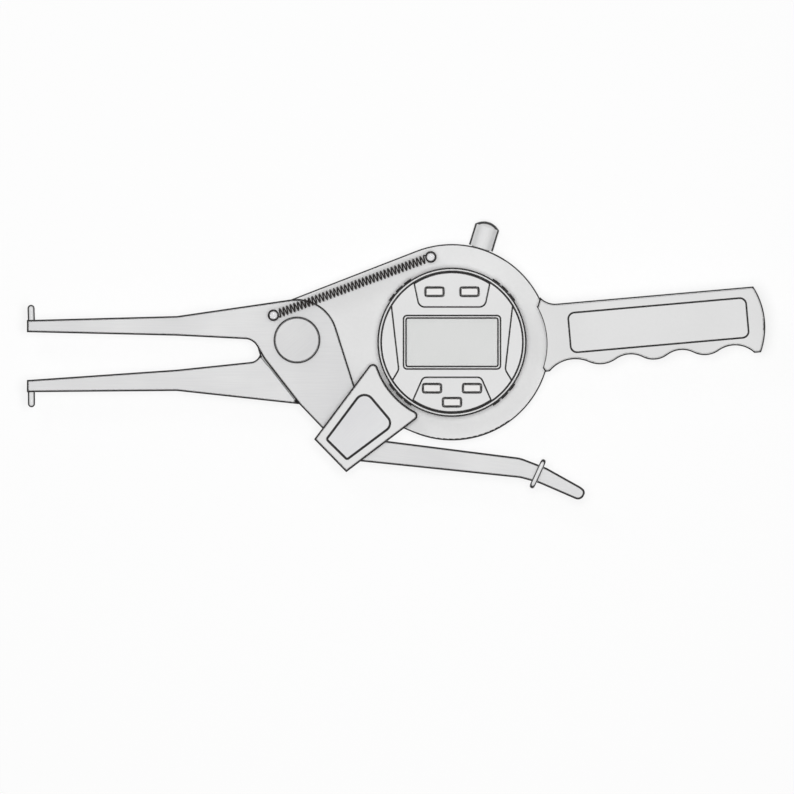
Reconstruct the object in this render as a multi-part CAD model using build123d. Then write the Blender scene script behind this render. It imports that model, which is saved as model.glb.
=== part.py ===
"""Digital inside caliper gauge with a squeeze lever, lying on its back.

Millimetres. +X runs towards the handle, +Y to the domed cap side and +Z to the reader.
The origin is on the display's turning axis, in the plane that the back rests on.
"""

from build123d import *
import math
import os

# Layout, seen from the front
PIVOT_X = -62.0
PIVOT_Y = 0.9
SQUEEZE_DEG = 9.5
SPINDLE_DEG = 73.0
HANDLE_DEG = 5.0

# Layers from the resting plane upwards
BACK_COVER_T = 2.0
HOUSING_FRONT = 13.0
FRONT_WALL = 2.5
NECK_WALL = 3.8
LAYER_GAP = 0.1
ARM_BACK = 10.6
ARM_FRONT = 16.0
LEVER_FRONT = 18.0
LEVER_GAP = 0.3
COVER_GAP = 0.3
COVER_ROOF_T = 2.5

# Fits, and how far a cut runs past a face or a boss into its wall
FIT = 0.05
RUN = 0.05
KEY_FIT = 0.02
LOOSE = 0.1
SINK = 0.2
OVERCUT = 1.0

# Housing
DIAL_R = 39.3
NECK_END_R = 16.0
HOUSING_WALL = 3.0
HOUSING_EDGE = 0.8
LINK_SEAT_T = 4.0
CASE_SCREW_DEG = (20, 118, 160, -35, -80, -125)
CASE_SCREW_IN = 5.1
CASE_BOSS_R = 2.6
CASE_SCREW_END = 8.0
NECK_SCREW_OUT = 11.2

# Moving arm outline, measured from the pivot
ARM_REACH = 108.05
ARM_BEND = 48.0
TIP_HEIGHT = 4.9
HUB_R = 16.4
MOVING_TIP_TOP = 8.0
MOVING_BEND_TOP = 9.6
MOVING_BEND_BOTTOM = 1.7
EDGE_TURN_DEG = 17.5
ELBOW_IN = (29.7, -39.6, 6.0)
ELBOW_END_IN = (34.5, -40.2)
ELBOW_END_OUT = (23.0, -48.8)
ELBOW_END_R = 1.0
ELBOW_KINK = (1.1, -25.9, 8.0)
FORK_LOW = (-13.3, -7.4, 6.0)
FORK_HIGH = (-17.6, 0.18, 5.6)
BLADE_CLEAR = 0.5
BLADE_FROM = -10.0
ARM_EDGE = 0.3

# Fixed arm outline, measured from the pivot
FIXED_TIP_TOP = -16.0
FIXED_BEND_TOP = -11.85
FIXED_BEND_BOTTOM = -20.4
FORK_CORNER = (-14.9, -8.4, 4.2)
LAP_R = 14.5
LAP_SHOULDER = -1.0
ROOT_HIGH = (13.0, -12.0)
ROOT_LOW = (6.0, -26.25, 3.0)
STEP_GAP = 0.3
SWING_STEPS = 4
ARM_SCREWS = ((-6.0, -10.0), (5.0, -13.0), (9.5, 5.0))

# Contact pins, pressed in square to each arm's outer edge
CONTACT_R = 1.5
CONTACT_SHANK_R = 1.1
CONTACT_INSET = 0.3
CONTACT_OUT = 6.1
CONTACT_SEAT = 3.2

# Pivot
SHAFT_R = 3.5
SHAFT_PROUD = 1.0
KEY_HALF = 2.6
BUSH_R = 5.0
BUSH_FLANGE_R = 6.6
BUSH_FLANGE_T = 0.4
PIVOT_CAP_R = 9.36
PIVOT_CAP_T = 2.2
PIVOT_CAP_EDGE = 0.6
NUT_R = 5.2
NUT_T = 3.0
NUT_PROUD = 0.6

# Inner drive lever
DRIVE_T = 1.6
DRIVE_HUB_R = 7.0
DRIVE_END_R = 3.0
DRIVE_PIN_R = 1.25
DRIVE_PIN_CLEAR = 0.2

# Spindle and its guides, measured along the spindle from the dial's axis
SPINDLE_R = 2.0
SPINDLE_Z = 5.8
SPINDLE_FLAT = 1.4
SPINDLE_OVER = 2.5
SPINDLE_CLEAR = 0.6
GUIDE_R = 3.0
GUIDE_LOW = -5.0
GUIDE_LENGTH = 4.0
GUIDE_RIM_IN = 6.8
GUIDE_BLOCK_HALF = 5.0
STUB_R = 5.1
STUB_SHANK_R = 3.6
STUB_OUT = 11.1
STUB_DOME = 2.2
STUB_BORE_GAP = 0.3
STUB_ROOF_T = 2.4
YOKE_BELOW = 2.7
YOKE_ABOVE = 6.5
YOKE_WIDTH = 9.0
YOKE_BACK = 4.0
YOKE_FRONT = 7.0
SLOT_SPARE = 0.4

# Sensor
BASE_RAIL_IN = 5.0
BASE_RAIL_OUT = 8.0
BASE_BACK = 2.3
BASE_FRONT = 9.3
BASE_RIM_IN = 7.3
BASE_BRIDGE_L = 4.0
BASE_BRIDGE_T = 1.2
BASE_FOOT_L = 6.0
BASE_EARS = ((-3.0, 14.0), (-11.0, -9.0))
BASE_PAD_IN = 3.0
BASE_PAD_ASIDE = 6.5
BASE_SCREW_END = 12.2
EAR_R = 2.3
EAR_ARM_HALF = 2.0
BOARD_FROM = 13.0
BOARD_T = 0.7
SLIDER_FROM = 15.0
SLIDER_L = 6.0
SLIDER_HALF = 4.0
SLIDER_T = 1.0
SLIDER_SPARE = 1.0

# Battery, its holder, contact and door
BATTERY_R = 10.0
BATTERY_T = 3.2
BATTERY_RIM_IN = 16.45
BATTERY_DEG = -6.92
HOLDER_GAP = 0.5
HOLDER_WALL = 1.4
DOOR_R = 12.0
DOOR_FLANGE_T = 1.0
DOOR_PLUG_T = 1.6
DOOR_TURN_DEG = 45.0
LUG_OUT = 0.9
LUG_T = 0.6
LUG_ARC_DEG = 24.0
LUG_SPARE_DEG = 3.0
LUG_SINK = 0.2
COIN_SLOT = (14.0, 1.6, 1.2)
BATTERY_CONTACT_W = 5.0
BATTERY_CONTACT_T = 0.3

# Back cover
COVER_EDGE = 0.5
GASKET_T = 0.8
GASKET_FROM = 0.8
GASKET_TO = 2.0
GASKET_FIT = 0.02

# Link cover outline, seen from the front, from the dial's axis
COVER_A = (-55.2, -38.8)
COVER_B = (-42.3, -52.0)
COVER_C = (-8.0, -26.0)
COVER_D = (-30.0, -5.15)
COVER_TIP_R = 2.0
COVER_RIM_GAP = 1.0
COVER_FOOT_IN = 1.5
FOOT_INSET = 1.6
END_WALL = 5.0
END_SCREWS_ALONG = (3.5, 15.0)
FOOT_SCREW_DEG = (-157.2, -127.5)
FOOT_SCREW_IN = 4.15
COVER_SCREW_END = 17.6
ROOF_EDGE = 0.4
INLAY_OUTLINE = ((-50.1, -38.8, 0.6), (-42.0, -46.8, 0.6), (-23.4, -32.9, 3.2), (-35.2, -18.9, 3.7))
COVER_PLATE_T = 0.8
STOP_R = 1.1
STOP_SEAT = 2.0
STOP_OUT = 0.3
STOP_ALONG = 9.0

# Trigger lever outline, measured from the pivot
LEVER_HEEL = [(28.0, -42.0, 0), (33.9, -40.1, 0)]
LEVER_TOP = [(36.4, -40.4, 0), (89.4, -47.1, 12.0), (99.8, -51.1, 12.0), (113.4, -58.7, 0),
             (115.6, -60.4, 2.0), (113.7, -64.6, 2.6)]
LEVER_BOTTOM = [(96.6, -57.2, 12.0), (89.4, -55.2, 12.0), (25.6, -48.6, 0), (23.6, -48.4, 0)]
LEVER_SCREWS = ((21.5, -36.0), (26.5, -40.2))
LEVER_BUTT_GAP = 0.1
TONGUE_L = 12.0
COLLAR_X = 34.3
COLLAR_Y = -52.6
COLLAR_TURN_DEG = 65.4
COLLAR_W = 12.9
COLLAR_T = 2.2
COLLAR_PROUD = 1.7

# Return spring and its posts
POST_R = 2.2
POST_FRONT = 21.5
POST_STUD_R = 1.4
POST_STUD_L = 2.4
POST_GROOVE = 0.5
POST_GROOVE_HALF = 0.6
POST_EDGE = 0.3
ARM_POST = (-9.4, 9.9)
HOUSING_POST_DEG = 104.0
HOUSING_POST_IN = 4.16
SPRING_Z = 19.0
COIL_R = 1.6
COIL_WIRE = 0.5
COIL_TURNS = 40.5
COIL_STEPS = 8
COIL_END_GAP = 0.5
HOOK_ARC_DEG = 290.0
HOOK_STEPS = 8
HOOK_FIT = 0.06

# Display head
BEZEL_R = 29.85
BEZEL_RING = 1.45
BEZEL_BACK = 13.4
BEZEL_FRONT = 21.5
BEZEL_EDGE = 0.4
GRIP_OUT = 0.55
GRIP_ROOT = 0.6
GRIP_FROM_DEG = 33.5
GRIP_STEP_DEG = 8.5
GRIP_ARC_DEG = 6.5
GRIP_RIBS = 3
GRIP_BACK = 0.4
GRIP_FRONT = 0.9
QUARTER_DEG = 90
HEAD_BACK = 13.2
HEAD_FLOOR_T = 2.0
HEAD_WALL = 1.4
FACE_BACK = 19.8
FACE_FRONT = 21.0
SWIVEL_R = 8.5
SWIVEL_SHOULDER = 3.0
SWIVEL_BORE_R = 5.6
RETAINER_R = 11.0
RETAINER_T = 0.8
NECK_SCREW_IN = 1.45
NECK_SCREW_R = 0.8
NECK_SCREWS_DEG = (0, 120, 240)
BOARD_BACK = 16.4
HEAD_BOARD_T = 1.2
HEAD_BOARD_GAP = 0.3
BOARD_POSTS_DEG = (45, 135, 225, 315)
BOARD_POST_IN = 4.9
BOARD_POST_R = 1.6
LCD_W = 38.8
LCD_H = 21.4
LCD_RIM = 1.0
LCD_CORNER_R = 1.4
LCD_INNER_R = 0.8
LCD_PANEL_OVER = 1.2
WINDOW_T = 0.8
KEY_PANEL_T = 0.4
PANEL_GAP = 0.1
UPPER_PANEL = (13.4, 16.6)
UPPER_PANEL_IN = 14.6
UPPER_PANEL_R = 3.0
LOWER_PANEL = (11.8, 18.6)
LOWER_PANEL_IN = 14.7
LOWER_PANEL_R = 2.4
PANEL_REACH = 0.7
SIDE_STEP = 0.4
SIDE_INSETS = ((4.0, 16.0, 0), (7.1, -11.0, 3.0), (3.3, -17.3, 0))
SIDE_REACH = 12.0
KEY_W = 6.7
KEY_H = 2.8
KEY_GAP = 0.15
KEY_CORNER_R = 0.5
KEY_EDGE = 0.3
KEY_FRONT = 22.2
KEY_FLANGE_T = 0.8
KEY_FLANGE_OVER = 0.6
UPPER_KEY_X = 7.0
UPPER_KEY_IN = 8.2
LOWER_KEY_X = 8.0
LOWER_KEY_IN = 10.0
MIDDLE_KEY_IN = 4.4

# Handle, in its own tilted frame from the dial's rim
HANDLE_BACK = 0.6
HANDLE_SPLIT = 10.8
HANDLE_FRONT = 21.0
HANDLE_TOP = 11.75
HANDLE_LOW = -14.8
HANDLE_END = 82.7
HANDLE_END_LEAN = 0.8
HANDLE_END_BULGE = 3.5
HANDLE_END_MID = -3.0
HANDLE_FLAT_U = 80.8
HANDLE_WALL = 2.4
HANDLE_EDGE = 0.8
FINGER_DIPS = (72.7, 51.9, 31.6, 9.5)
FINGER_BUMPS = (61.2, 40.5, 19.1)
DIP_LEVEL = -11.1
BUMP_LEVEL = -14.0
ROOT_WAVE_END = (-1.3, -15.0)
ROOT_LOW_HORN = ((-3.1, -15.1), (-4.1, -13.2))
ROOT_HIGH_HORN = ((-4.0, 11.4), (-2.6, 14.9), (4.0, HANDLE_TOP))
ROOT_HIGH_BEND = (0.3, 12.55)
ROOT_INSIDE = 6.0
ROOT_DISH_R = 30.0
ROOT_DISH_IN = 1.4
ROOT_DISH_Y = -0.7
RIM_GAP = 0.2
PLATE_FROM = 7.8
PLATE_TO = 79.3
PLATE_BOTTOM = -8.4
PLATE_TOP = 7.6
PLATE_CORNER_R = 2.6
PLATE_T = 1.0
PLATE_PROUD = 0.1
TANG_IN = 3.0
TANG_L = 44.7
TANG_HALF = 5.0
TANG_BACK = 6.0
TANG_FRONT = 12.0
HANDLE_SCREW_U = (16.7, 58.7)
HANDLE_SCREW_END = 17.0
HANDLE_BOSS_R = 3.0

# Screws
SCREW_R = 1.0
SCREW_HEAD_R = 1.9
SCREW_HEAD_T = 1.1
DRIVER_SLOT_W = 0.5
DRIVER_SLOT_D = 0.4
SCREW_BITE = 1.0

# Where the sizes above put each layer and ring
pivot = Pos(PIVOT_X, PIVOT_Y, 0)
spindle_frame = Rot(0, 0, SPINDLE_DEG)
handle_frame = Rot(0, 0, HANDLE_DEG) * Pos(DIAL_R, 0, 0)
cavity_front = HOUSING_FRONT - FRONT_WALL
neck_front = HOUSING_FRONT - NECK_WALL
drive_back = neck_front - BUSH_FLANGE_T - DRIVE_T
arm_layer = HOUSING_FRONT + LAYER_GAP
arm_mid = (ARM_BACK + ARM_FRONT) / 2
lever_back = HOUSING_FRONT + LEVER_GAP
cover_back = LEVER_FRONT + COVER_GAP
cover_front = cover_back + COVER_ROOF_T
guide_out = DIAL_R - GUIDE_RIM_IN
base_top = DIAL_R - BASE_RIM_IN
grip_r = BEZEL_R + GRIP_OUT
bezel_in_r = BEZEL_R - BEZEL_RING
case_r = bezel_in_r - LOOSE
far_off = 2 * (ARM_REACH + HANDLE_END)

parts = {}


def polar(radius, degrees):
    """A point at a distance and a bearing."""
    turn = math.radians(degrees)
    return radius * math.cos(turn), radius * math.sin(turn)


def slab(face, low, high):
    """A flat outline as a solid between two heights."""
    return extrude(Pos(0, 0, low) * face, high - low)


def disc(radius, low, high, x=0.0, y=0.0):
    """An upright cylinder between two heights."""
    return slab(Pos(x, y, 0) * Circle(radius), low, high)


def front_edges(body):
    """The edges round a body's foremost face."""
    return body.faces().sort_by(Axis.Z)[-1].edges()


def back_edges(body):
    """The edges round a body's rearmost face."""
    return body.faces().sort_by(Axis.Z)[0].edges()


def rounded(corners):
    """A closed outline from corners (x, y, radius)."""
    face = make_face(Polyline(*[(x, y) for x, y, _ in corners], close=True))
    for x, y, radius in corners:
        if radius > 0:
            corner = face.vertices().sort_by_distance((x, y, 0))[0]
            face = fillet(corner, radius)
    return face


def belt(from_x, from_y, from_r, to_x, to_y, to_r):
    """Two round ends joined by their outer tangents."""
    span = math.hypot(to_x - from_x, to_y - from_y)
    heading = math.atan2(to_y - from_y, to_x - from_x)
    lean = math.acos((from_r - to_r) / span)
    corners = []
    for side in (lean, -lean):
        turn = heading + side
        ends = [(from_x, from_y, from_r), (to_x, to_y, to_r)]
        if side < 0:
            ends.reverse()
        corners += [(x + r * math.cos(turn), y + r * math.sin(turn)) for x, y, r in ends]
    middle = make_face(Polyline(*corners, close=True))
    return middle + Pos(from_x, from_y) * Circle(from_r) + Pos(to_x, to_y) * Circle(to_r)


def body_belt(inset=0.0):
    """The housing's outline, or a line inside it."""
    return belt(0, 0, DIAL_R - inset, PIVOT_X, PIVOT_Y, NECK_END_R - inset)


def half_plane(x, y, toward_x, toward_y):
    """A large square whose edge passes through a point, on the side given."""
    angle = math.degrees(math.atan2(toward_y, toward_x))
    return Pos(x, y) * Rot(0, 0, angle) * Pos(far_off / 2, 0) * Rectangle(far_off, far_off)


def beyond_edge(start, end, inset):
    """The side of a line beyond an outline's edge, once the line is moved inwards."""
    run_x = end[0] - start[0]
    run_y = end[1] - start[1]
    length = math.hypot(run_x, run_y)
    out_x = run_y / length
    out_y = -run_x / length
    return half_plane(start[0] - inset * out_x, start[1] - inset * out_y, out_x, out_y)


def sector(radius, middle_deg, spread_deg):
    """A pie slice of a disc."""
    low = polar(2 * radius, -spread_deg / 2)
    high = polar(2 * radius, spread_deg / 2)
    return Circle(radius) & Rot(0, 0, middle_deg) * make_face(Polyline((0, 0), low, high, close=True))


def screw_hole(x, y, head_z, end_z):
    """A countersunk hole along Z, its wide end at head_z."""
    up = 1 if end_z > head_z else -1
    length = end_z - head_z
    outline = [(0, 0), (SCREW_HEAD_R, 0), (SCREW_R, up * SCREW_HEAD_T), (SCREW_R, length), (0, length)]
    profile = make_face(Polyline(*[(r, 0, z) for r, z in outline], close=True))
    return Pos(x, y, head_z) * revolve(profile, Axis.Z)


def screws(rows):
    """Slotted countersunk screws, one for each row of x, y, head and end heights."""
    slot = Box(2 * SCREW_HEAD_R, DRIVER_SLOT_W, 2 * DRIVER_SLOT_D)
    return Compound(children=[
        screw_hole(x, y, head_z, end_z) - Pos(x, y, head_z) * slot for x, y, head_z, end_z in rows])


def on_spindle(along, aside):
    """A point of the spindle's frame seen in the gauge's frame."""
    turn = math.radians(SPINDLE_DEG)
    x = along * math.cos(turn) - aside * math.sin(turn)
    y = along * math.sin(turn) + aside * math.cos(turn)
    return x, y


def rod(radius, start, end):
    """A round bar on the spindle's axis."""
    middle = Pos((start + end) / 2, 0, SPINDLE_Z)
    return spindle_frame * middle * Rot(0, 90, 0) * Cylinder(radius, end - start)


def bar(start, end, from_aside, to_aside, low, high):
    """A box laid out in the spindle's frame."""
    centre = Pos((start + end) / 2, (from_aside + to_aside) / 2, (low + high) / 2)
    return spindle_frame * centre * Box(end - start, to_aside - from_aside, high - low)


# Outlines of the arms
def upper_tangent(x, y, radius):
    """Where the tangent from a point left of a circle about the pivot touches its top."""
    turn = math.atan2(y, x) - math.acos(radius / math.hypot(x, y))
    return radius * math.cos(turn), radius * math.sin(turn)


def moving_outline():
    """Blade, hub and elbow of the moving arm."""
    touch = upper_tangent(-ARM_BEND, MOVING_BEND_TOP, HUB_R)
    leave = polar(HUB_R, EDGE_TURN_DEG)
    body = rounded([
        (-ARM_REACH, MOVING_TIP_TOP, 0), (-ARM_BEND, MOVING_BEND_TOP, 0), (*touch, 0), (*leave, 0),
        ELBOW_IN, (*ELBOW_END_IN, 0), (*ELBOW_END_OUT, ELBOW_END_R), ELBOW_KINK, FORK_LOW, FORK_HIGH,
        (-ARM_BEND, MOVING_BEND_BOTTOM, 0), (-ARM_REACH, MOVING_TIP_TOP - TIP_HEIGHT, 0),
    ])
    middle = ((touch[0] + leave[0]) / 2, (touch[1] + leave[1]) / 2)
    return body + (Circle(HUB_R) & half_plane(*middle, *middle))


def fixed_outline():
    """Blade and root of the fixed arm."""
    body = rounded([
        (-ARM_REACH, FIXED_TIP_TOP, 0), (-ARM_BEND, FIXED_BEND_TOP, 0), FORK_CORNER,
        (-LAP_R, LAP_SHOULDER, 0), (0, 0, 0), (*ROOT_HIGH, 0), ROOT_LOW,
        (-ARM_BEND, FIXED_BEND_BOTTOM, 0), (-ARM_REACH, FIXED_TIP_TOP - TIP_HEIGHT, 0),
    ])
    return body + Circle(LAP_R)


def fixed_step():
    """The fixed arm's full-thickness face, clear of the moving arm over its whole swing."""
    face = fixed_outline()
    swept = offset(moving_outline(), STEP_GAP)
    for step in range(SWING_STEPS + 1):
        face -= Rot(0, 0, SQUEEZE_DEG * step / SWING_STEPS) * swept
    return face.faces().sort_by(SortBy.AREA)[-1]


def cover_outline():
    """The wedge over the elbow, hollowed where it faces the bezel."""
    hollow_r = grip_r + COVER_RIM_GAP
    wedge = make_face(Polyline(COVER_A, COVER_B, COVER_C, COVER_D, close=True)) - Circle(hollow_r)
    tips = wedge.vertices().filter_by(lambda v: abs(math.hypot(v.X, v.Y) - hollow_r) < FIT)
    return fillet(tips, COVER_TIP_R)


# Where the drive pin stands at rest, and how far it carries the spindle
spindle_turn = math.radians(SPINDLE_DEG)
lever_arm = PIVOT_Y * math.cos(spindle_turn) - PIVOT_X * math.sin(spindle_turn)
pivot_along = PIVOT_X * math.cos(spindle_turn) + PIVOT_Y * math.sin(spindle_turn)
rest_lean = -math.radians(SQUEEZE_DEG) / 2
pin_along = pivot_along + lever_arm * math.sin(rest_lean)
pin_aside = lever_arm * (1 - math.cos(rest_lean))
pin_turn = spindle_turn - math.pi / 2 + rest_lean
pin_x = PIVOT_X + lever_arm * math.cos(pin_turn)
pin_y = PIVOT_Y + lever_arm * math.sin(pin_turn)

# Screw places
seat_back = HOUSING_FRONT - LINK_SEAT_T
end_turn_deg = math.degrees(math.atan2(COVER_B[1] - COVER_A[1], COVER_B[0] - COVER_A[0]))
end_frame = Pos(*COVER_A) * Rot(0, 0, end_turn_deg)
end_spots = [(end_frame * Pos(along, END_WALL / 2, 0)).position for along in END_SCREWS_ALONG]
foot_spots = [polar(DIAL_R - FOOT_SCREW_IN, turn) for turn in FOOT_SCREW_DEG]
cover_rows = [(spot.X, spot.Y, seat_back, COVER_SCREW_END) for spot in end_spots]
cover_rows += [(x, y, cavity_front, COVER_SCREW_END) for x, y in foot_spots]
case_spots = [polar(DIAL_R - CASE_SCREW_IN, turn) for turn in CASE_SCREW_DEG]
case_spots.append((PIVOT_X - NECK_SCREW_OUT, PIVOT_Y))
base_pads = [(base_top - BASE_PAD_IN, side * BASE_PAD_ASIDE) for side in (1, -1)]
base_spots = [on_spindle(*spot) for spot in list(BASE_EARS) + base_pads]
arm_spots = [(PIVOT_X + x, PIVOT_Y + y) for x, y in ARM_SCREWS]
lever_spots = [(PIVOT_X + x, PIVOT_Y + y) for x, y in LEVER_SCREWS]
arm_post = (PIVOT_X + ARM_POST[0], PIVOT_Y + ARM_POST[1])
housing_post = polar(DIAL_R - HOUSING_POST_IN, HOUSING_POST_DEG)


def make_housing():
    """The cast body: dial bowl, neck, link seat and the tang inside the handle."""
    body = slab(body_belt(), BACK_COVER_T, HOUSING_FRONT)
    body = fillet(front_edges(body), HOUSING_EDGE)
    body += slab(cover_outline(), seat_back, HOUSING_FRONT)
    tang = Pos((TANG_L - TANG_IN) / 2, 0, (TANG_BACK + TANG_FRONT) / 2)
    body += handle_frame * tang * Box(TANG_L + TANG_IN, 2 * TANG_HALF, TANG_FRONT - TANG_BACK)
    body -= disc(DIAL_R - HOUSING_WALL, BACK_COVER_T, cavity_front)
    body -= slab(body_belt(HOUSING_WALL), BACK_COVER_T, neck_front)
    for x, y in case_spots:
        body += disc(CASE_BOSS_R, BACK_COVER_T, cavity_front + SINK, x, y)
    body += bar(guide_out, DIAL_R - OVERCUT, -GUIDE_BLOCK_HALF, GUIDE_BLOCK_HALF, BACK_COVER_T,
                cavity_front + SINK)
    body -= rod(GUIDE_R, guide_out - OVERCUT, guide_out + GUIDE_LENGTH)
    body -= rod(STUB_SHANK_R, guide_out + GUIDE_LENGTH, DIAL_R + OVERCUT)
    body -= slab(pivot * offset(fixed_outline(), FIT), ARM_BACK, HOUSING_FRONT + OVERCUT)
    body -= disc(BUSH_R, 0, HOUSING_FRONT + OVERCUT, PIVOT_X, PIVOT_Y)
    body -= disc(SWIVEL_R + RUN, 0, HOUSING_FRONT + OVERCUT)
    body -= disc(POST_STUD_R, HOUSING_FRONT - POST_STUD_L, HOUSING_FRONT + OVERCUT, *housing_post)
    for x, y in arm_spots:
        body -= disc(SCREW_R, ARM_BACK - SCREW_BITE, ARM_BACK + OVERCUT, x, y)
    for x, y in base_spots:
        body -= disc(SCREW_R, BACK_COVER_T, BASE_SCREW_END, x, y)
    for x, y in case_spots:
        body -= disc(SCREW_R, BACK_COVER_T, CASE_SCREW_END, x, y)
    for x, y, head_z, _ in cover_rows:
        body -= screw_hole(x, y, head_z, HOUSING_FRONT + OVERCUT)
    for u in HANDLE_SCREW_U:
        if u < TANG_L:
            body -= handle_frame * disc(HANDLE_BOSS_R + LOOSE, 0, HOUSING_FRONT + OVERCUT, u, 0)
    return body


parts["housing"] = make_housing()


def edge_frame(tip, bend, up):
    """A frame on an arm's outer edge at its contact, +Z pointing out of the edge."""
    lean = math.atan2(bend[1] - tip[1], bend[0] - tip[0])
    along = CONTACT_INSET + CONTACT_R
    spot = Pos(tip[0] + along * math.cos(lean), tip[1] + along * math.sin(lean), arm_mid)
    return pivot * spot * Rot(0, 0, math.degrees(lean)) * Rot(-90 * up, 0, 0)


def contact():
    """A pin with a round nose and a thinner shank, standing on its shoulder."""
    stem_l = CONTACT_OUT - CONTACT_R
    pin = Pos(0, 0, stem_l / 2) * Cylinder(CONTACT_R, stem_l) + Pos(0, 0, stem_l) * Sphere(CONTACT_R)
    return pin + Pos(0, 0, -CONTACT_SEAT / 2) * Cylinder(CONTACT_SHANK_R, CONTACT_SEAT)


def contact_hole():
    """The hole that a contact's shank is pressed into."""
    return Pos(0, 0, (OVERCUT - CONTACT_SEAT) / 2) * Cylinder(CONTACT_SHANK_R, CONTACT_SEAT + OVERCUT)


moving_edge = edge_frame((-ARM_REACH, MOVING_TIP_TOP), (-ARM_BEND, MOVING_BEND_TOP), 1)
fixed_edge = edge_frame((-ARM_REACH, FIXED_TIP_TOP - TIP_HEIGHT), (-ARM_BEND, FIXED_BEND_BOTTOM), -1)


def key_section(extra=0.0):
    """The shaft's round section with two flats."""
    return Circle(SHAFT_R + extra) & Rectangle(2 * (KEY_HALF + extra), 4 * SHAFT_R)


def make_moving_arm():
    """The cranked arm: full thickness along the blade, a half lap over the neck."""
    outline = moving_outline()
    blade = (outline - Circle(HUB_R + BLADE_CLEAR)) & half_plane(BLADE_FROM, 0, -1, 0)
    arm = slab(outline, arm_layer, ARM_FRONT) + slab(blade, ARM_BACK, arm_layer)
    arm = pivot * chamfer(front_edges(arm), ARM_EDGE)
    arm -= moving_edge * contact_hole()
    arm -= slab(pivot * key_section(KEY_FIT), HOUSING_FRONT, ARM_FRONT + OVERCUT)
    arm -= disc(POST_STUD_R, 0, ARM_FRONT + OVERCUT, *arm_post)
    for x, y in lever_spots:
        arm -= disc(SCREW_R, 0, ARM_FRONT + OVERCUT, x, y)
    return arm


def make_fixed_arm():
    """The straight arm: its lap lies in the neck and its blade stands up to the moving one."""
    raised = slab(fixed_step(), HOUSING_FRONT, ARM_FRONT)
    raised = chamfer(front_edges(raised), ARM_EDGE)
    arm = pivot * (slab(fixed_outline(), ARM_BACK, HOUSING_FRONT) + raised)
    arm -= fixed_edge * contact_hole()
    arm -= disc(BUSH_R, 0, ARM_FRONT, PIVOT_X, PIVOT_Y)
    for x, y in arm_spots:
        arm -= screw_hole(x, y, HOUSING_FRONT, ARM_BACK - OVERCUT)
    return arm


parts["moving_arm"] = make_moving_arm()
parts["fixed_arm"] = make_fixed_arm()
parts["moving_contact"] = moving_edge * contact()
parts["fixed_contact"] = fixed_edge * contact()
parts["fixed_arm_screws"] = screws([(x, y, HOUSING_FRONT, ARM_BACK - SCREW_BITE) for x, y in arm_spots])

# Pivot group
nut_back = drive_back - NUT_T
flange_back = neck_front - BUSH_FLANGE_T
bush = disc(BUSH_R, neck_front, arm_layer, PIVOT_X, PIVOT_Y)
bush += disc(BUSH_FLANGE_R, flange_back, neck_front, PIVOT_X, PIVOT_Y)
parts["pivot_bush"] = bush - disc(SHAFT_R + RUN, 0, ARM_FRONT, PIVOT_X, PIVOT_Y)
shaft = disc(SHAFT_R, nut_back - NUT_PROUD, drive_back, PIVOT_X, PIVOT_Y)
shaft += slab(pivot * key_section(), drive_back, flange_back)
shaft += disc(SHAFT_R, flange_back, arm_layer, PIVOT_X, PIVOT_Y)
shaft += slab(pivot * key_section(), arm_layer, ARM_FRONT + SHAFT_PROUD)
parts["pivot_shaft"] = shaft
cap = disc(PIVOT_CAP_R, ARM_FRONT, ARM_FRONT + PIVOT_CAP_T, PIVOT_X, PIVOT_Y)
cap = fillet(front_edges(cap), PIVOT_CAP_EDGE)
parts["pivot_cap"] = cap - slab(pivot * key_section(), ARM_FRONT, ARM_FRONT + SHAFT_PROUD)
nut = slab(pivot * RegularPolygon(NUT_R, 6), nut_back, drive_back)
parts["pivot_nut"] = nut - disc(SHAFT_R, 0, HOUSING_FRONT, PIVOT_X, PIVOT_Y)

# Drive lever and its pin
drive = slab(belt(PIVOT_X, PIVOT_Y, DRIVE_HUB_R, pin_x, pin_y, DRIVE_END_R), drive_back, flange_back)
drive -= slab(pivot * key_section(KEY_FIT), drive_back - OVERCUT, HOUSING_FRONT)
parts["drive_lever"] = drive - disc(DRIVE_PIN_R, 0, HOUSING_FRONT, pin_x, pin_y)
parts["drive_pin"] = disc(DRIVE_PIN_R, YOKE_BACK + DRIVE_PIN_CLEAR, flange_back, pin_x, pin_y)

# Spindle group
yoke_low = pin_along - YOKE_BELOW
yoke_top = pin_along + YOKE_ABOVE
spindle_low = pin_along + DRIVE_END_R + SPINDLE_CLEAR
flat_z = SPINDLE_Z - SPINDLE_FLAT
flat_from = SLIDER_FROM - SLIDER_SPARE
flat_to = SLIDER_FROM + SLIDER_L + SLIDER_SPARE
spindle_bar = rod(SPINDLE_R, spindle_low, guide_out + SPINDLE_OVER)
parts["spindle"] = spindle_bar - bar(flat_from, flat_to, -GUIDE_R, GUIDE_R, 0, flat_z)
yoke = bar(yoke_low, yoke_top, -YOKE_WIDTH / 2, YOKE_WIDTH / 2, YOKE_BACK, YOKE_FRONT)
yoke -= rod(SPINDLE_R, spindle_low, yoke_top + OVERCUT)
slot_r = DRIVE_PIN_R + RUN
slot_half = pin_aside + SLOT_SPARE
for end in (-slot_half, slot_half):
    yoke -= disc(slot_r, 0, HOUSING_FRONT, *on_spindle(pin_along, end))
yoke -= bar(pin_along - slot_r, pin_along + slot_r, -slot_half, slot_half, 0, HOUSING_FRONT)
parts["spindle_yoke"] = yoke
parts["slider_board"] = bar(SLIDER_FROM, SLIDER_FROM + SLIDER_L, -SLIDER_HALF, SLIDER_HALF,
                            flat_z - SLIDER_T, flat_z)
for name, start in (("lower_spindle_bush", GUIDE_LOW), ("upper_spindle_bush", guide_out)):
    end = start + GUIDE_LENGTH
    parts[name] = rod(GUIDE_R, start, end) - rod(SPINDLE_R + RUN, start - OVERCUT, end + OVERCUT)
stub_top = DIAL_R + STUB_OUT
stub_seat = DIAL_R + LOOSE
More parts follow.
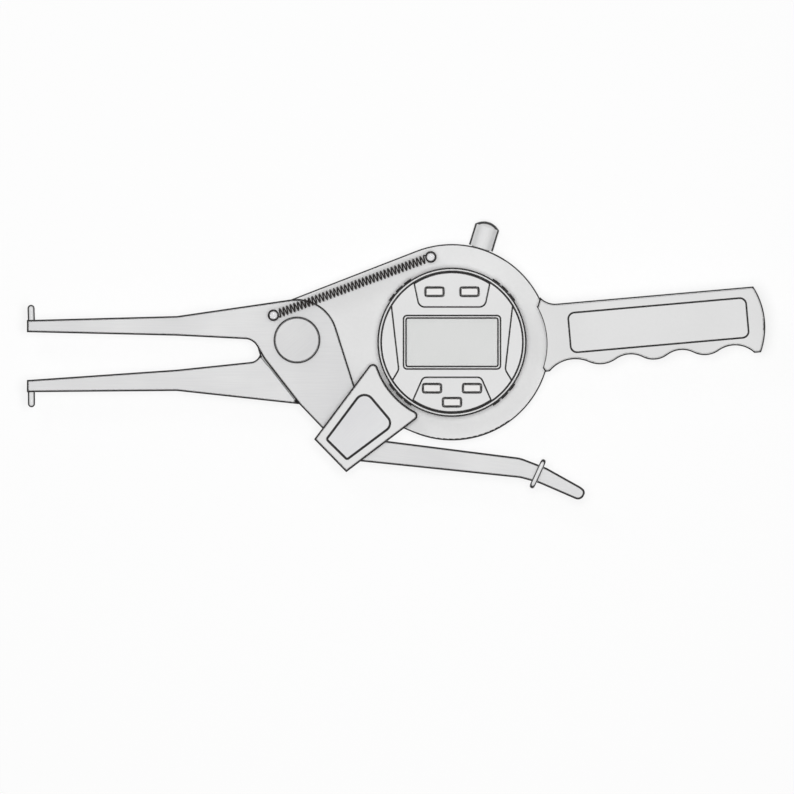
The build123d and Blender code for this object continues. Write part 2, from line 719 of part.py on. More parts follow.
dome_from = stub_top - STUB_DOME
dome_r = (STUB_R ** 2 + STUB_DOME ** 2) / (2 * STUB_DOME)
dome_middle = Pos(*on_spindle(stub_top - dome_r, 0), SPINDLE_Z)
stub = rod(STUB_R, stub_seat, dome_from) + (rod(STUB_R, dome_from, stub_top) & dome_middle * Sphere(dome_r))
stub += rod(STUB_SHANK_R, guide_out + GUIDE_LENGTH, stub_seat)
stub -= rod(SPINDLE_R + STUB_BORE_GAP, guide_out + GUIDE_LENGTH - OVERCUT, stub_top - STUB_ROOF_T)
parts["spindle_cap"] = stub

# Sensor base and its board
board_front = BASE_BACK + BOARD_T
base = bar(GUIDE_LOW, GUIDE_LOW + GUIDE_LENGTH, -BASE_RAIL_OUT, BASE_RAIL_OUT, BASE_BACK, BASE_FRONT)
base += bar(base_top - BASE_BRIDGE_L, base_top, -BASE_RAIL_OUT, BASE_RAIL_OUT, BASE_FRONT - BASE_BRIDGE_T,
            BASE_FRONT)
for side, ear in zip((1, -1), BASE_EARS):
    near, far = sorted((side * BASE_RAIL_IN, side * BASE_RAIL_OUT))
    base += bar(min(GUIDE_LOW, ear[0]), base_top, near, far, BASE_BACK, BASE_FRONT)
    base += bar(base_top - BASE_FOOT_L, base_top, near, far, BASE_FRONT, cavity_front)
    near, far = sorted((side * BASE_RAIL_OUT, ear[1]))
    base += bar(ear[0] - EAR_ARM_HALF, ear[0] + EAR_ARM_HALF, near, far, BASE_BACK, BASE_FRONT)
    base += disc(EAR_R, BASE_BACK, cavity_front, *on_spindle(*ear))
base -= bar(BOARD_FROM, base_top + OVERCUT, -BASE_RAIL_OUT - OVERCUT, BASE_RAIL_OUT + OVERCUT,
            BASE_BACK - OVERCUT, board_front)
base -= rod(GUIDE_R, GUIDE_LOW - OVERCUT, GUIDE_LOW + GUIDE_LENGTH + OVERCUT)
board = bar(BOARD_FROM, base_top, -BASE_RAIL_OUT, BASE_RAIL_OUT, BASE_BACK, board_front)
for x, y in base_spots:
    base -= screw_hole(x, y, BASE_BACK, BASE_SCREW_END)
    board -= screw_hole(x, y, BASE_BACK, BASE_SCREW_END)
parts["sensor_base"] = base
parts["sensor_board"] = board
parts["sensor_base_screws"] = screws([(x, y, BASE_BACK, BASE_SCREW_END) for x, y in base_spots])

# Battery, its holder ring in the back cover, contact and door
plug_r = BATTERY_R + HOLDER_GAP
lug_r = plug_r + LUG_OUT
holder_r = lug_r + HOLDER_WALL
battery_back = DOOR_FLANGE_T + DOOR_PLUG_T
battery_front = battery_back + BATTERY_T
battery_spot = Pos(*polar(DIAL_R - BATTERY_RIM_IN, BATTERY_DEG), 0)


def make_gasket(extra=0.0):
    """A thin rubber loop that follows the housing's wall."""
    ring = body_belt(GASKET_FROM - extra) - body_belt(GASKET_TO + extra)
    return slab(ring, BACK_COVER_T - GASKET_T, BACK_COVER_T)


def make_back_cover():
    """The flat back with its battery ring, gasket groove and screw holes."""
    cover = slab(body_belt(), 0, BACK_COVER_T)
    cover = chamfer(back_edges(cover), COVER_EDGE)
    cover += battery_spot * disc(holder_r, BACK_COVER_T, battery_front)
    cover -= battery_spot * disc(DOOR_R, -OVERCUT, DOOR_FLANGE_T)
    cover -= battery_spot * disc(plug_r + RUN, -OVERCUT, battery_front + OVERCUT)
    cover -= battery_spot * disc(lug_r + LOOSE, BACK_COVER_T, BACK_COVER_T + LUG_T + LOOSE)
    for turn in (0, 180):
        gate = sector(lug_r + LOOSE, turn + DOOR_TURN_DEG, LUG_ARC_DEG + LUG_SPARE_DEG)
        cover -= battery_spot * slab(gate, 0, BACK_COVER_T + LOOSE)
    cover -= make_gasket(GASKET_FIT)
    for x, y in case_spots:
        cover -= screw_hole(x, y, 0, BACK_COVER_T + OVERCUT)
    return cover


def make_battery_door():
    """A coin-slotted plug whose two lugs turn in behind the cover."""
    door = disc(DOOR_R - RUN, 0, DOOR_FLANGE_T) + disc(plug_r, DOOR_FLANGE_T, battery_back)
    for turn in (0, 180):
        lug = sector(lug_r, turn, LUG_ARC_DEG) - Circle(plug_r - LUG_SINK)
        door += slab(lug, BACK_COVER_T + RUN, BACK_COVER_T + LUG_T)
    return battery_spot * (door - Box(*COIN_SLOT))


parts["back_cover"] = make_back_cover()
parts["back_cover_gasket"] = make_gasket()
parts["back_cover_screws"] = screws([(x, y, 0, CASE_SCREW_END) for x, y in case_spots])
parts["battery"] = battery_spot * disc(BATTERY_R, battery_back, battery_front)
parts["battery_door"] = make_battery_door()
strip = Circle(holder_r) & Rectangle(2 * holder_r, BATTERY_CONTACT_W)
parts["battery_contact"] = battery_spot * slab(strip, battery_front, battery_front + BATTERY_CONTACT_T)

# Link cover over the elbow, with its inlay plate and the stop that the arm rests on
plate_face = rounded(INLAY_OUTLINE)
stop_frame = end_frame * Pos(STOP_ALONG, END_WALL, (arm_layer + ARM_FRONT) / 2) * Rot(-90, 0, 0)


def make_link_cover():
    """A roof on two walls, one on the dial's rim and one along the outer end."""
    cover = slab(cover_outline(), cover_back, cover_front)
    cover = chamfer(front_edges(cover), ROOF_EDGE)
    foot = cover_outline() & Circle(DIAL_R - COVER_FOOT_IN)
    foot -= beyond_edge(COVER_B, COVER_C, FOOT_INSET)
    end_wall = cover_outline() & beyond_edge(COVER_A, COVER_B, END_WALL)
    for wall in (foot, end_wall):
        cover += slab(wall, HOUSING_FRONT, cover_back)
    cover -= slab(plate_face, cover_front - COVER_PLATE_T, cover_front + OVERCUT)
    for x, y, _, end_z in cover_rows:
        cover -= disc(SCREW_R, HOUSING_FRONT - OVERCUT, end_z, x, y)
    return cover - stop_frame * Pos(0, 0, -STOP_SEAT / 2) * Cylinder(STOP_R, STOP_SEAT)


parts["link_cover"] = make_link_cover()
parts["link_cover_plate"] = slab(plate_face, cover_front - COVER_PLATE_T, cover_front)
parts["link_cover_screws"] = screws(cover_rows)
stop_mid = Pos(0, 0, (STOP_OUT - STOP_SEAT) / 2)
parts["arm_stop"] = stop_frame * stop_mid * Cylinder(STOP_R, STOP_SEAT + STOP_OUT)

# Trigger lever, its screws and collar
lever_face = rounded(LEVER_HEEL + LEVER_TOP + LEVER_BOTTOM)


def make_lever():
    """A bar that butts against the elbow and laps over it with a screwed tongue."""
    past_elbow = beyond_edge(ELBOW_END_OUT, ELBOW_END_IN, -LEVER_BUTT_GAP)
    lapped = beyond_edge(ELBOW_END_OUT, ELBOW_END_IN, TONGUE_L)
    lever = slab((lever_face + moving_outline()) & lapped, ARM_FRONT, LEVER_FRONT)
    lever += slab(lever_face & past_elbow, lever_back, LEVER_FRONT)
    for x, y in LEVER_SCREWS:
        lever -= screw_hole(x, y, LEVER_FRONT, ARM_FRONT - OVERCUT)
    return pivot * lever


def make_collar():
    """A flat ring pushed on to the lever, square to it."""
    height = LEVER_FRONT - lever_back + 2 * COLLAR_PROUD
    middle = Pos(COLLAR_X, COLLAR_Y, (lever_back + LEVER_FRONT) / 2) * Rot(0, 0, COLLAR_TURN_DEG)
    section = RectangleRounded(COLLAR_W, height, height / 2 - LOOSE)
    ring = middle * Rot(90, 0, 0) * extrude(section, COLLAR_T / 2, both=True)
    return ring - pivot * slab(lever_face, lever_back, LEVER_FRONT)


parts["trigger_lever"] = make_lever()
parts["trigger_lever_screws"] = screws([(x, y, LEVER_FRONT, arm_layer + SINK) for x, y in lever_spots])
parts["lever_collar"] = make_collar()


# Return spring and its posts
def post(x, y, seat):
    """A grooved post that a spring hook sits in."""
    body = disc(POST_R, seat, POST_FRONT, x, y) + disc(POST_STUD_R, seat - POST_STUD_L, seat, x, y)
    groove = disc(POST_R + OVERCUT, SPRING_Z - POST_GROOVE_HALF, SPRING_Z + POST_GROOVE_HALF, x, y)
    groove -= disc(POST_R - POST_GROOVE, 0, POST_FRONT, x, y)
    return chamfer(front_edges(body - groove), POST_EDGE)


def wire_form(points, width):
    """A square wire bent through points, each corner mitred."""
    steps = [(b - a).normalized() for a, b in zip(points, points[1:])]
    steps = [steps[0]] + steps + [steps[-1]]
    across = Vector(0, 0, 1)
    rings = []
    for spot, before, after in zip(points, steps, steps[1:]):
        ahead = (before + after).normalized()
        across = (across - ahead * across.dot(ahead)).normalized()
        side = ahead.cross(across)
        corners = [spot + (across * up + side * out) * (width / 2)
                   for up, out in ((1, 1), (-1, 1), (-1, -1), (1, -1))]
        rings.append(Wire.make_polygon(corners, close=True))
    return Solid.make_loft(rings, ruled=True)


def hook(centre, along, side, from_deg, to_deg):
    """Points of an open loop that lies in a post's groove."""
    half_step = math.radians(HOOK_ARC_DEG / HOOK_STEPS / 2)
    radius = (POST_R - POST_GROOVE + COIL_WIRE / 2 + HOOK_FIT) / math.cos(half_step)
    points = []
    for step in range(HOOK_STEPS + 1):
        x, y = polar(radius, from_deg + (to_deg - from_deg) * step / HOOK_STEPS)
        points.append(centre + along * x + side * y)
    return points


def make_spring():
    """The coil between the posts with a hook at each end."""
    start = Vector(*arm_post, SPRING_Z)
    end = Vector(*housing_post, SPRING_Z)
    along = (end - start).normalized()
    side = Vector(-along.Y, along.X, 0)
    coil_from = POST_R + COIL_END_GAP
    coil_l = (end - start).length - 2 * coil_from
    half_open = (360 - HOOK_ARC_DEG) / 2
    points = hook(start, along, side, half_open, half_open + HOOK_ARC_DEG)
    steps = round(COIL_TURNS * COIL_STEPS)
    for step in range(steps + 1):
        out, up = polar(COIL_R, 180 + 360 * step / COIL_STEPS)
        points.append(start + along * (coil_from + coil_l * step / steps) + side * out + Vector(0, 0, up))
    points += hook(end, along, side, 180 - half_open, 180 - half_open - HOOK_ARC_DEG)
    return wire_form(points, COIL_WIRE)


parts["arm_spring_post"] = post(*arm_post, ARM_FRONT)
parts["housing_spring_post"] = post(*housing_post, HOUSING_FRONT)
parts["return_spring"] = make_spring()

# Display head: case with its swivel neck, retainer, screws, board and display
case_in_r = case_r - HEAD_WALL
head_floor = HEAD_BACK + HEAD_FLOOR_T
neck_back = cavity_front - LAYER_GAP
neck_spots = [polar(SWIVEL_R - NECK_SCREW_IN, turn) for turn in NECK_SCREWS_DEG]
case = disc(case_r, HEAD_BACK, FACE_BACK) - disc(case_in_r, head_floor, FACE_BACK + OVERCUT)
case += disc(SWIVEL_R, neck_back, HEAD_BACK) + disc(SWIVEL_R + SWIVEL_SHOULDER, HOUSING_FRONT, HEAD_BACK)
for turn in BOARD_POSTS_DEG:
    case += disc(BOARD_POST_R, head_floor, BOARD_BACK, *polar(case_in_r - BOARD_POST_IN, turn))
case -= disc(SWIVEL_BORE_R, 0, FACE_BACK)
retainer = disc(RETAINER_R, neck_back - RETAINER_T, neck_back) - disc(SWIVEL_BORE_R, 0, HOUSING_FRONT)
for spot in neck_spots:
    case -= disc(NECK_SCREW_R, 0, HOUSING_FRONT, *spot)
    retainer -= disc(NECK_SCREW_R, 0, HOUSING_FRONT, *spot)
parts["display_case"] = case
parts["swivel_retainer"] = retainer
parts["display_case_screws"] = Compound(children=[
    disc(NECK_SCREW_R, neck_back - RETAINER_T, HOUSING_FRONT, *spot) for spot in neck_spots])
head_board_front = BOARD_BACK + HEAD_BOARD_T
parts["display_board"] = disc(case_in_r - HEAD_BOARD_GAP, BOARD_BACK, head_board_front)
lcd_area = Rectangle(LCD_W + 2 * LCD_PANEL_OVER, LCD_H + 2 * LCD_PANEL_OVER)
parts["lcd_glass"] = slab(lcd_area, head_board_front, FACE_BACK - LOOSE)


def make_bezel():
    """The ring round the face, with a group of grip ribs in each quarter."""
    ring = disc(BEZEL_R, BEZEL_BACK, BEZEL_FRONT)
    ring = chamfer(front_edges(ring), BEZEL_EDGE)
    band = Circle(grip_r) - Circle(BEZEL_R - GRIP_ROOT)
    for quarter in range(4):
        for rib in range(GRIP_RIBS):
            turn = GRIP_FROM_DEG + GRIP_ARC_DEG / 2 + GRIP_STEP_DEG * rib
            if quarter % 2:
                turn = QUARTER_DEG - turn
            piece = band & sector(grip_r, turn + QUARTER_DEG * quarter, GRIP_ARC_DEG)
            ring += slab(piece, BEZEL_BACK + GRIP_BACK, BEZEL_FRONT - GRIP_FRONT)
    return ring - disc(bezel_in_r, 0, BEZEL_FRONT + OVERCUT)


parts["bezel"] = make_bezel()

# Face plate, key panels, window and keys
upper_y = bezel_in_r - UPPER_KEY_IN
lower_y = LOWER_KEY_IN - bezel_in_r
KEYS = {
    "button_upper_left": (-UPPER_KEY_X, upper_y),
    "button_upper_right": (UPPER_KEY_X, upper_y),
    "button_lower_left": (-LOWER_KEY_X, lower_y),
    "button_lower_right": (LOWER_KEY_X, lower_y),
    "button_lower_middle": (0.0, MIDDLE_KEY_IN - bezel_in_r),
}
window = RectangleRounded(LCD_W, LCD_H, LCD_CORNER_R)
window_in = RectangleRounded(LCD_W - 2 * LCD_RIM, LCD_H - 2 * LCD_RIM, LCD_INNER_R)
key_holes = [Pos(x, y, 0) * RectangleRounded(KEY_W + 2 * KEY_GAP, KEY_H + 2 * KEY_GAP, KEY_CORNER_R)
             for x, y in KEYS.values()]


def make_face_plate():
    """The round face, stepped down in a crescent at each side."""
    face = disc(case_r, FACE_BACK, FACE_FRONT)
    outer_x = bezel_in_r + SIDE_REACH
    inner = [(bezel_in_r - inset, y, radius) for inset, y, radius in SIDE_INSETS]
    side = rounded([(outer_x, inner[0][1], 0), *inner, (outer_x, inner[-1][1], 0)])
    for crescent in (side, mirror(side, about=Plane.YZ)):
        face -= slab(crescent, FACE_FRONT - SIDE_STEP, FACE_FRONT + OVERCUT)
    for hole in [window] + key_holes:
        face -= slab(hole, FACE_BACK - OVERCUT, FACE_FRONT + OVERCUT)
    return face


def make_key_panel(half_widths, from_y, to_y, radius):
    """A raised panel round a group of keys, cut off by the bezel."""
    near, far = half_widths
    outline = rounded([(-near, from_y, radius), (near, from_y, radius), (far, to_y, 0), (-far, to_y, 0)])
    panel = slab(outline & Circle(case_r - PANEL_GAP), FACE_FRONT, FACE_FRONT + KEY_PANEL_T)
    for hole in key_holes:
        panel -= slab(hole, FACE_BACK, FACE_FRONT + OVERCUT)
    return panel


panel_end = bezel_in_r + PANEL_REACH
parts["face_plate"] = make_face_plate()
parts["upper_key_panel"] = make_key_panel(UPPER_PANEL, bezel_in_r - UPPER_PANEL_IN, panel_end, UPPER_PANEL_R)
parts["lower_key_panel"] = make_key_panel(LOWER_PANEL, LOWER_PANEL_IN - bezel_in_r, -panel_end, LOWER_PANEL_R)
parts["lcd_frame"] = slab(window - window_in, FACE_BACK, FACE_FRONT + KEY_PANEL_T)
parts["lcd_window"] = slab(window_in, FACE_FRONT - WINDOW_T, FACE_FRONT)
flange_front = FACE_BACK - LOOSE
for name, (x, y) in KEYS.items():
    key = slab(RectangleRounded(KEY_W, KEY_H, KEY_CORNER_R), flange_front, KEY_FRONT)
    key = fillet(front_edges(key), KEY_EDGE)
    flange = Rectangle(KEY_W + 2 * KEY_FLANGE_OVER, KEY_H + 2 * KEY_FLANGE_OVER)
    parts[name] = Pos(x, y, 0) * (key + slab(flange, flange_front - KEY_FLANGE_T, flange_front))


# Handle halves round the tang, with the plate let into the front
def handle_outline():
    """The grip seen from the front, in its own tilted frame."""
    crests = [(FINGER_DIPS[0], DIP_LEVEL)]
    for bump, dip in zip(FINGER_BUMPS, FINGER_DIPS[1:]):
        crests += [(bump, BUMP_LEVEL), (dip, DIP_LEVEL)]
    middle = (DIP_LEVEL + BUMP_LEVEL) / 2
    joins = [((a[0] + b[0]) / 2, middle) for a, b in zip(crests, crests[1:])]
    joins = [(HANDLE_FLAT_U, HANDLE_LOW)] + joins + [ROOT_WAVE_END]
    low_heel, low_tip = ROOT_LOW_HORN
    high_tip, high_peak, high_heel = ROOT_HIGH_HORN
    inside = low_tip[0] - ROOT_INSIDE
    end_top = (HANDLE_END, HANDLE_TOP)
    end_low = (HANDLE_END + HANDLE_END_LEAN, HANDLE_LOW)
    edges = [ThreePointArc(*bend) for bend in zip(joins, crests, joins[1:])]
    edges += [
        Polyline(ROOT_WAVE_END, low_heel, low_tip, (inside, low_tip[1]), (inside, high_tip[1]), high_tip,
                 high_peak),
        ThreePointArc(high_peak, ROOT_HIGH_BEND, high_heel),
        Line(high_heel, end_top),
        ThreePointArc(end_top, (HANDLE_END + HANDLE_END_BULGE, HANDLE_END_MID), end_low),
        Line(end_low, joins[0]),
    ]
    return make_face(edges)


plate_mid = Pos((PLATE_FROM + PLATE_TO) / 2, (PLATE_BOTTOM + PLATE_TOP) / 2)
plate_outline = plate_mid * RectangleRounded(PLATE_TO - PLATE_FROM, PLATE_TOP - PLATE_BOTTOM, PLATE_CORNER_R)
plate_back = HANDLE_FRONT - PLATE_T


def make_handle():
    """Both shells, hollow, with screw bosses and a slot for the tang."""
    outline = handle_outline()
    inner = offset(outline, -HANDLE_WALL)
    back = slab(outline, HANDLE_BACK, HANDLE_SPLIT)
    back = fillet(back_edges(back), HANDLE_EDGE)
    front = slab(outline, HANDLE_SPLIT, HANDLE_FRONT)
    front = fillet(front_edges(front), HANDLE_EDGE)
    back -= slab(inner, HANDLE_BACK + HANDLE_WALL, HANDLE_SPLIT)
    front -= slab(inner, HANDLE_SPLIT, plate_back - HANDLE_WALL)
    tang = Pos(TANG_L / 2, 0, (TANG_BACK + TANG_FRONT) / 2) * Box(
        TANG_L + 2 * OVERCUT, 2 * (TANG_HALF + LOOSE), TANG_FRONT - TANG_BACK + 2 * LOOSE)
    for u in HANDLE_SCREW_U:
        back += disc(HANDLE_BOSS_R, HANDLE_BACK, HANDLE_SPLIT, u, 0)
        front += disc(HANDLE_BOSS_R, HANDLE_SPLIT, plate_back - OVERCUT, u, 0)
        back -= screw_hole(u, 0, HANDLE_BACK, HANDLE_SCREW_END)
        front -= disc(SCREW_R, HANDLE_SPLIT - OVERCUT, HANDLE_SCREW_END, u, 0)
        tang -= disc(HANDLE_BOSS_R, 0, HANDLE_FRONT, u, 0)
    front -= slab(plate_outline, plate_back, HANDLE_FRONT + OVERCUT)
    bowl = disc(DIAL_R + RIM_GAP, -OVERCUT, HOUSING_FRONT)
    dish = disc(ROOT_DISH_R, HOUSING_FRONT - OVERCUT, HANDLE_FRONT + OVERCUT,
                DIAL_R - ROOT_DISH_IN - ROOT_DISH_R, ROOT_DISH_Y)
    return handle_frame * (back - tang) - bowl, handle_frame * (front - tang) - bowl - dish


parts["handle_back"], parts["handle_front"] = make_handle()
parts["handle_plate"] = handle_frame * slab(plate_outline, plate_back, HANDLE_FRONT + PLATE_PROUD)
handle_spots = [polar(DIAL_R + u, HANDLE_DEG) for u in HANDLE_SCREW_U]
parts["handle_screws"] = screws([(x, y, HANDLE_BACK, HANDLE_SCREW_END) for x, y in handle_spots])

os.makedirs("parts", exist_ok=True)
for node, shape in parts.items():
    export_step(shape, f"parts/{node}.step")
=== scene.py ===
"""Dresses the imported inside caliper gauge: finishes, return spring, collar, floor, light and camera."""
import math

import bpy
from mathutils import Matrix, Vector


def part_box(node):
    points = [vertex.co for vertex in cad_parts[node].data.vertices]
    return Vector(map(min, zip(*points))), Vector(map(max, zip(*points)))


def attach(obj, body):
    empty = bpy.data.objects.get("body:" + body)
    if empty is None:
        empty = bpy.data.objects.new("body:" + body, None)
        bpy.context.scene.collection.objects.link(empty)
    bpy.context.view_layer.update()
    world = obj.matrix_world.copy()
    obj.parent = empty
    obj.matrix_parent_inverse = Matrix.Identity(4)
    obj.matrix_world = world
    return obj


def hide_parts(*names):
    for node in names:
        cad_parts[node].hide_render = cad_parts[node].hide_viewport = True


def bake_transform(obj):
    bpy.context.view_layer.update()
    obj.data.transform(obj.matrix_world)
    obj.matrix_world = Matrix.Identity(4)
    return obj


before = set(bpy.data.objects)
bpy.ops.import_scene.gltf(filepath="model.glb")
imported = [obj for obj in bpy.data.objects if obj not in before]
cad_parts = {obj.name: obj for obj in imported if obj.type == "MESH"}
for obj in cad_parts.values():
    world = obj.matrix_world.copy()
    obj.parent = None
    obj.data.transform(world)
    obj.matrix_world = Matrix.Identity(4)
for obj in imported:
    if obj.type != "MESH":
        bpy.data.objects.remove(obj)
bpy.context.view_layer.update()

MM_PER_M = 1000.0

# The drawing looks straight down on the front, at 0.4 mm to a pixel, with the dial's middle at this pixel
PIXEL = 0.0004
FRAME_PIXELS = 794
DIAL_PIXEL_X = 452.0
DIAL_PIXEL_Y = 342.25
VIEW_X = (FRAME_PIXELS / 2 - DIAL_PIXEL_X) * PIXEL
VIEW_Y = (DIAL_PIXEL_Y - FRAME_PIXELS / 2) * PIXEL
VIEW_HEIGHT = 0.6

# Every edge carries a dark line painted into the colour: an outline as the drawing inks it, which is also
# painted shade on chamfers and in creases and gaps between parts. The reach is how far from a corner, in
# metres, the surface is looked at as rounded, and the line comes out about half as wide
LINE_REACH = 0.0010
FINE_REACH = 0.0006
INLAY_REACH = 0.00075
LEVER_REACH = 0.0014
LINE_SAMPLES = 16
PAINTED_SHADE_COLOUR = "#1C1A1A"
LINE_ROUGHNESS = 0.7

# A corner's line starts at the first value and is full at the second: the cosine between the rounded normal
# and the true one. The key panels stand so little proud that theirs starts sooner
CORNERS = (0.9998, 0.996)
LOW_STEPS = (0.99998, 0.9990)

# Fillets, chamfers and flanks get painted shade by the share of their normal that points up or down: bare
# above the first value, full from the second to the fourth, and bare again below the third
SLOPES = (0.975, 0.93, 0.02, 0.05)
FILLETS = (0.97, 0.92, 0.02, 0.05)
STUB_FLANKS = (0.58, 0.51, 0.20, 0.27)
PIN_FLANKS = (0.86, 0.78, 0.32, 0.40)

# The fixed arm's end lies against the moving arm's edge, which alone is drawn there. The end's own line is
# left out up to END_BARE along the first unit vector and between the END_MARKS along the second, in mm
END_ACROSS = (-0.796, -0.604, 0.0)
END_ALONG = (0.604, -0.796, 0.0)
END_BARE = (65.6, 65.2)
END_MARKS = (-41.4, -41.0, -19.4, -19.8)

# In every finish the grain's noise is added to a slow drift, and the sum between two values mixes the tones
GRAIN_CRISPNESS = 0.55
GRAIN_SHARE = 0.5
DRIFT_MM = 35
DRIFT_DETAIL = 2.0
TONE_FROM = 0.5
TONE_TO = 1.0
RELIEF_STRENGTH = 0.6


def linear(colour):
    """An sRGB hex colour as the linear RGBA that Blender's sockets take."""
    shares = [int(colour[i:i + 2], 16) / 255 for i in (1, 3, 5)]
    return tuple(c / 12.92 if c <= 0.04045 else ((c + 0.055) / 1.055) ** 2.4 for c in shares) + (1.0,)


def per(millimetres):
    """The texture scale at which one feature measures that many millimetres."""
    return MM_PER_M / millimetres


def add(tree, kind, values=None, wires=None, **options):
    """Adds a shader node with its options, its socket values and its links from earlier nodes."""
    made = tree.nodes.new(kind)
    for name, value in options.items():
        setattr(made, name, value)
    for socket, value in (values or {}).items():
        made.inputs[socket].default_value = value
    for socket, (source, output) in (wires or {}).items():
        tree.links.new(source.outputs[output], made.inputs[socket])
    return made


def start_material(name):
    """An empty node material and its node tree."""
    material = bpy.data.materials.new(name)
    material.use_nodes = True
    material.node_tree.nodes.clear()
    return material, material.node_tree


def band(tree, source, limits):
    """1 where a node's value lies inside two soft limits and 0 outside them."""
    ends = [add(tree, "ShaderNodeMapRange", {"From Min": out, "From Max": full}, {"Value": (source, "Value")})
            for out, full in (limits[:2], limits[2:])]
    return add(tree, "ShaderNodeMath", wires={0: (ends[0], "Result"), 1: (ends[1], "Result")},
               operation="MULTIPLY")


def bare_end(tree, line):
    """Takes a line mask off the fixed arm's end."""
    place = add(tree, "ShaderNodeVectorMath", {"Scale": MM_PER_M},
                {0: (add(tree, "ShaderNodeTexCoord"), "Object")}, operation="SCALE")
    across, along = [add(tree, "ShaderNodeVectorMath", {1: way}, {0: (place, "Vector")},
                         operation="DOT_PRODUCT") for way in (END_ACROSS, END_ALONG)]
    short = add(tree, "ShaderNodeMapRange", {"From Min": END_BARE[0], "From Max": END_BARE[1]},
                {"Value": (across, "Value")})
    within = band(tree, along, END_MARKS)
    bare = add(tree, "ShaderNodeMath", wires={0: (within, "Value"), 1: (short, "Result")},
               operation="MULTIPLY")
    return add(tree, "ShaderNodeMath", wires={0: (line, "Value"), 1: (bare, "Value")}, operation="SUBTRACT",
               use_clamp=True)


def edge_mask(tree, slopes=SLOPES, corners=CORNERS, reach=LINE_REACH, open_end=False):
    """Where painted outline and shade go: 1 in a line along sharp corners and on the narrow slopes of fillets
    and chamfers, 0 on flat faces.
    """
    facing = add(tree, "ShaderNodeSeparateXYZ", wires={0: (add(tree, "ShaderNodeTexCoord"), "Normal")})
    level = add(tree, "ShaderNodeMath", wires={0: (facing, "Z")}, operation="ABSOLUTE")
    slope = band(tree, level, slopes)
    if not corners:
        return slope
    rounded = add(tree, "ShaderNodeBevel", {"Radius": reach}, samples=LINE_SAMPLES)
    true = add(tree, "ShaderNodeNewGeometry")
    likeness = add(tree, "ShaderNodeVectorMath", wires={0: (rounded, "Normal"), 1: (true, "Normal")},
                   operation="DOT_PRODUCT")
    corner = add(tree, "ShaderNodeMapRange", {"From Min": corners[0], "From Max": corners[1]},
                 {"Value": (likeness, "Value")})
    line = add(tree, "ShaderNodeMath", wires={0: (corner, "Result"), 1: (slope, "Value")},
               operation="MAXIMUM")
    return bare_end(tree, line) if open_end else line


def surface(name, tones, grain_mm, detail, bump_mm, roughness, metallic=0.0, turn_deg=0.0, sockets=None,
            paint_edge_shade=True, **edges):
    """A finish whose colour, gloss and relief follow one noise, as long and as wide as its grain."""
    material, tree = start_material(name)
    along, across = grain_mm
    place = add(tree, "ShaderNodeTexCoord")
    turned = add(tree, "ShaderNodeVectorRotate", {"Angle": math.radians(-turn_deg)},
                 {"Vector": (place, "Object")}, rotation_type="Z_AXIS")
    drawn_out = add(tree, "ShaderNodeMapping", {"Scale": (per(along), per(across), per(across))},
                    {"Vector": (turned, "Vector")})
    grain = add(tree, "ShaderNodeTexNoise", {"Scale": 1.0, "Detail": detail, "Roughness": GRAIN_CRISPNESS},
                {"Vector": (drawn_out, "Vector")})
    drift = add(tree, "ShaderNodeTexNoise", {"Scale": per(DRIFT_MM), "Detail": DRIFT_DETAIL},
                {"Vector": (place, "Object")})
    mottle = add(tree, "ShaderNodeMath", {1: GRAIN_SHARE}, {0: (grain, "Fac"), 2: (drift, "Fac")},
                 operation="MULTIPLY_ADD")
    share = add(tree, "ShaderNodeMapRange", {"From Min": TONE_FROM, "From Max": TONE_TO},
                {"Value": (mottle, "Value")})
    colour = add(tree, "ShaderNodeMix", {"A": linear(tones[0]), "B": linear(tones[1])},
                 {"Factor": (share, "Result")}, data_type="RGBA")
    gloss = add(tree, "ShaderNodeMapRange", {"To Min": roughness[0], "To Max": roughness[1]},
                {"Value": (grain, "Fac")})
    relief = add(tree, "ShaderNodeBump", {"Strength": RELIEF_STRENGTH, "Distance": bump_mm / MM_PER_M},
                 {"Height": (grain, "Fac")})
    values = {"Metallic": metallic, **(sockets or {})}
    wires = {"Base Color": (colour, "Result"), "Roughness": (gloss, "Result"), "Normal": (relief, "Normal")}
    # Paints the edge mask's dark outline and shade into the colour, where the finish is also rougher and not
    # metallic
    if paint_edge_shade:
        mask = edge_mask(tree, **edges)
        colour_under_painted_shade = add(tree, "ShaderNodeMix", {"B": linear(PAINTED_SHADE_COLOUR)},
                    {"Factor": (mask, "Value"), "A": (colour, "Result")}, data_type="RGBA")
        dulled = add(tree, "ShaderNodeMix", {"B": LINE_ROUGHNESS},
                     {"Factor": (mask, "Value"), "A": (gloss, "Result")})
        wires["Base Color"] = (colour_under_painted_shade, "Result")
        wires["Roughness"] = (dulled, "Result")
        if metallic:
            metal_off_in_painted_shade = add(tree, "ShaderNodeMix", {"A": metallic, "B": 0.0}, {"Factor": (mask, "Value")})
            wires["Metallic"] = (metal_off_in_painted_shade, "Result")
    shader = add(tree, "ShaderNodeBsdfPrincipled", values, wires)
    add(tree, "ShaderNodeOutputMaterial", wires={"Surface": (shader, "BSDF")})
    return material


def dress(material, *names):
    """Gives CAD nodes their finish."""
    for name in names:
        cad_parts[name].material_slots[0].material = material


# Each finish below paints dark outlines and shade into its colour along edges and sideways slopes, unless
# turned off
# The metals stay a little short of fully metallic, because the drawing's pale fill shows no dark reflections.
# Hairlines and grit finer than a pixel of 0.4 mm are drawn at about that width, so that they show
STEEL_TONES = ("#D4D4D5", "#E2E2E2")

# Arms and lever, chromed steel ground along their length: a soft bright sheen in long fine hairlines
SATIN_CHROME = dict(grain_mm=(14.0, 0.35), detail=3.0, bump_mm=0.01, roughness=(0.30, 0.44), metallic=0.85)
dress(surface("satin_chromed_steel_arm", STEEL_TONES, **SATIN_CHROME), "moving_arm")
dress(surface("satin_chromed_steel_root", STEEL_TONES, **SATIN_CHROME, open_end=True), "fixed_arm")
dress(surface("satin_chromed_steel_lever", STEEL_TONES, **SATIN_CHROME, turn_deg=-8.0,
              reach=LEVER_REACH),
      "trigger_lever")

